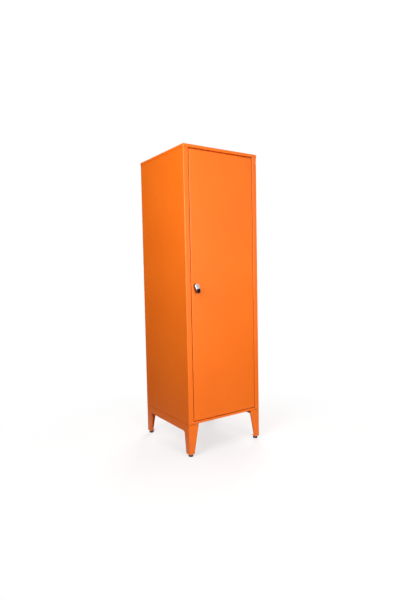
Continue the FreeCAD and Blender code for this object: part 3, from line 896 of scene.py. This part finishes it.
def addCamera():
    yaw, pitch, roll = (math.radians(view[key]) for key in ("yaw", "pitch", "roll"))
    ahead = Vector((math.sin(yaw) * math.cos(pitch), math.cos(yaw) * math.cos(pitch), -math.sin(pitch)))
    right = Vector((math.cos(yaw), -math.sin(yaw), 0))
    up = right.cross(ahead)
    tiltedRight = right * math.cos(roll) + up * math.sin(roll)
    tiltedUp = up * math.cos(roll) - right * math.sin(roll)
    lens = bpy.data.cameras.new("photoView")
    lens.lens = view["lens"]
    lens.sensor_width = view["sensor"]
    camera = bpy.data.objects.new("photoView", lens)
    turn = Matrix((tiltedRight, tiltedUp, -ahead)).transposed().to_4x4()
    camera.matrix_world = Matrix.Translation(view["place"]) @ turn
    scene.collection.objects.link(camera)
    scene.camera = camera


addCamera()
print("camera set")


# studio: a pale floor, a white surround, soft lamps, dark cards that only reflections show
studio = {
    "white": (1, 1, 1, 1),
    "floorSize": 24.0,
    "floorTone": (0.93, 0.93, 0.93, 1),
    "floorBounce": (0.25, 0.25, 0.25, 1),   # what the floor sends back up to the cabinet
    "grain": (30.0, 3.0),
    "grainRange": (0.3, 0.7),
    "grainShare": 0.03,
    "poolNear": 0.35,     # the floor keeps its shadow this far out, then fades to white
    "poolFar": 1.1,
    "lift": 0.66,         # share of white inside the pool
    "ambient": 0.12,
    "lamps": {
        "frontBox": {"place": (-0.2, -1.9, 0.8), "aim": (0, -0.2, 0.85), "side": 0.9, "power": 25},
        "sideBox": {"place": (-1.4, -0.65, 1.46), "aim": (-0.2, 0, 0.95), "side": 0.8, "power": 22.5},
        "edgeGleam": {"place": (-1.85, -2.15, 1.6), "aim": (-0.2, -0.2, 0.9), "side": 1.6, "power": 52},
        "backBox": {"place": (2.0, 2.1, 1.7), "aim": (0.1, 0.1, 0.7), "side": 1.6, "power": 75},
        "topBox": {"place": (0.3, 0.2, 3.6), "aim": (0, 0, 1.3), "side": 1.6, "power": 30},
    },
    "glossOnly": {"edgeGleam"},     # seen in reflections on bends and metal, gives no other light
    "cards": {
        "frontCard": {"place": (2.5, -6.2, 0.02), "aim": (2.5, -6.2, 1), "size": (13.0, 11.6)},
        "leftCard": {"place": (-2.2, 1.9, 0.02), "aim": (-2.2, 1.9, 1), "size": (3.8, 4.4)},
        "backCard": {"place": (-1.6, 2.1, 1.6), "aim": (-0.2, 0, 1.6), "size": (3.6, 3.2)},
    },
    "cardTone": (0.09, 0.03, 0.008, 1),
}


def seenDirectly(tree):
    path = addNode(tree, "ShaderNodeLightPath").outputs
    mirrored = maths(tree, "MAXIMUM", path["Is Glossy Ray"], path["Is Transmission Ray"])
    return maths(tree, "MAXIMUM", path["Is Camera Ray"], mirrored)


def rectangle(name, wide, deep):
    mesh = bpy.data.meshes.new(name)
    x, y = wide / 2, deep / 2
    mesh.from_pydata([(-x, -y, 0), (x, -y, 0), (x, y, 0), (-x, y, 0)], [], [(0, 1, 2, 3)])
    return mesh


def addStage(name, mesh, material):
    mesh.materials.append(material)
    thing = bpy.data.objects.new(name, mesh)
    scene.collection.objects.link(thing)
    return thing


def addFloor():
    material, tree = newSurface("paleFloor")
    place = addNode(tree, "ShaderNodeTexCoord").outputs["Object"]
    out = addNode(tree, "ShaderNodeVectorMath", {0: place}, operation="LENGTH").outputs["Value"]
    wires = {"Value": out, "To Min": studio["lift"]}
    wires.update({"From Min": studio["poolNear"], "From Max": studio["poolFar"]})
    away = addNode(tree, "ShaderNodeMapRange", wires, interpolation_type="SMOOTHSTEP").outputs[0]
    seen = seenDirectly(tree)
    noise = cloud(tree, place, *studio["grain"])
    grain = span(tree, noise, *studio["grainRange"], 0, studio["grainShare"])
    pale = tint(tree, grain, studio["floorTone"], studio["white"])
    tone = tint(tree, seen, studio["floorBounce"], pale)
    matt = addNode(tree, "ShaderNodeBsdfDiffuse", {"Color": tone}).outputs[0]
    glow = addNode(tree, "ShaderNodeEmission", {"Color": studio["white"], "Strength": 1.0}).outputs[0]
    wires = {0: maths(tree, "MULTIPLY", away, seen), 1: matt, 2: glow}
    mixed = addNode(tree, "ShaderNodeMixShader", wires).outputs[0]
    addNode(tree, "ShaderNodeOutputMaterial", {"Surface": mixed})
    addStage("floor", rectangle("floor", studio["floorSize"], studio["floorSize"]), material)


def addSurround():
    world = bpy.data.worlds.new("whiteSurround")
    world.use_nodes = True
    tree = world.node_tree
    tree.nodes.clear()
    wires = {"Color": studio["white"], "Strength": studio["ambient"]}
    soft = addNode(tree, "ShaderNodeBackground", wires).outputs[0]
    wires = {"Color": studio["white"], "Strength": 1.0}
    glow = addNode(tree, "ShaderNodeBackground", wires).outputs[0]
    mixed = addNode(tree, "ShaderNodeMixShader", {0: seenDirectly(tree), 1: soft, 2: glow}).outputs[0]
    addNode(tree, "ShaderNodeOutputWorld", {"Surface": mixed})
    scene.world = world


def addLamp(name, spec):
    lamp = bpy.data.lights.new(name, "AREA")
    lamp.shape = "SQUARE"
    lamp.size = spec["side"]
    lamp.energy = spec["power"]
    holder = bpy.data.objects.new(name, lamp)
    holder.location = spec["place"]
    aim = Vector(spec["aim"]) - Vector(spec["place"])
    holder.rotation_euler = aim.to_track_quat("-Z", "Y").to_euler()
    holder.visible_diffuse = name not in studio["glossOnly"]
    scene.collection.objects.link(holder)


def addCards():
    material, tree = newSurface("darkCard")
    dark = addNode(tree, "ShaderNodeBsdfDiffuse", {"Color": studio["cardTone"]}).outputs[0]
    addNode(tree, "ShaderNodeOutputMaterial", {"Surface": dark})
    for name, spec in studio["cards"].items():
        place = Vector(spec["place"])
        mesh = rectangle(name, *spec["size"])
        facing = (Vector(spec["aim"]) - place).to_track_quat("Z", "Y").to_matrix().to_4x4()
        mesh.transform(Matrix.Translation(place) @ facing)
        card = addStage(name, mesh, material)
        card.visible_camera = False
        card.visible_diffuse = False
        card.visible_transmission = False
        card.visible_shadow = False


addFloor()
addSurround()
addCards()
for name, spec in studio["lamps"].items():
    addLamp(name, spec)
scene.view_settings.view_transform = "Standard"
print("studio lit")
